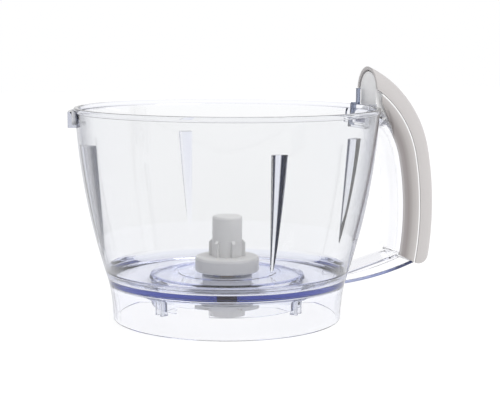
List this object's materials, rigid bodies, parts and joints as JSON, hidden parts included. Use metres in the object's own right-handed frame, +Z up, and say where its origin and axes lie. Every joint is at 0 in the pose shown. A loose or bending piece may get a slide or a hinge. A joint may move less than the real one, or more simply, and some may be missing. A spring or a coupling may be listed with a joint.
{
  "type": "food processor work bowl",
  "caption": "Clear food processor work bowl with inner ribs, a white D-shaped handle, a lid hook and a central drive spindle turning in the floor.",
  "frame": {"origin": "on the bowl's axis, in the plane of the lower edge of the skirt that the bowl rests on", "axes": "+Z up along the bowl's axis and the spindle's axis, +X towards the handle, +Y to the left of someone facing along +X"},
  "size_m": [0.257, 0.202, 0.1662],
  "materials": {
    "clear_plastic": "clear moulded styrene-acrylonitrile, polished, faint blue at its edges",
    "frosted_plastic": "frosted translucent moulding",
    "white_plastic": "satin moulded off-white",
    "grey_plastic": "satin moulded warm grey",
    "spindle_plastic": "satin moulded acetal, light grey-white",
    "nylon": "plain natural nylon",
    "steel": "ground stainless steel",
    "bronze": "sintered bronze",
    "black_rubber": "moulded nitrile rubber"
  },
  "bodies": {
    "bowl": {"bowl_wall": "clear_plastic", "bowl_floor": "clear_plastic", "base_skirt": "clear_plastic", "wall_ribs": "clear_plastic", "bayonet_ring": "clear_plastic", "bayonet_posts": "clear_plastic", "lid_hook": "clear_plastic", "latch_block": "clear_plastic", "handle_core": "clear_plastic", "handle_stem": "clear_plastic", "handle_lower_arm": "clear_plastic", "mouth_plug": "frosted_plastic", "handle_cover": "white_plastic", "handle_liner": "grey_plastic", "liner_screws": "steel", "shaft_bush": "bronze", "shaft_seal": "black_rubber"},
    "spindle": {"drive_spindle": "spindle_plastic", "drive_shaft": "steel", "drive_coupling": "spindle_plastic", "retaining_clip": "steel", "thrust_washer": "nylon"}
  },
  "joints": [
    {"name": "spindle_spin", "type": "hinge", "parent": "bowl", "child": "spindle", "pos_m": [0, 0, 0.03], "axis": [0, 0, 1], "continuous": true}
  ]
}
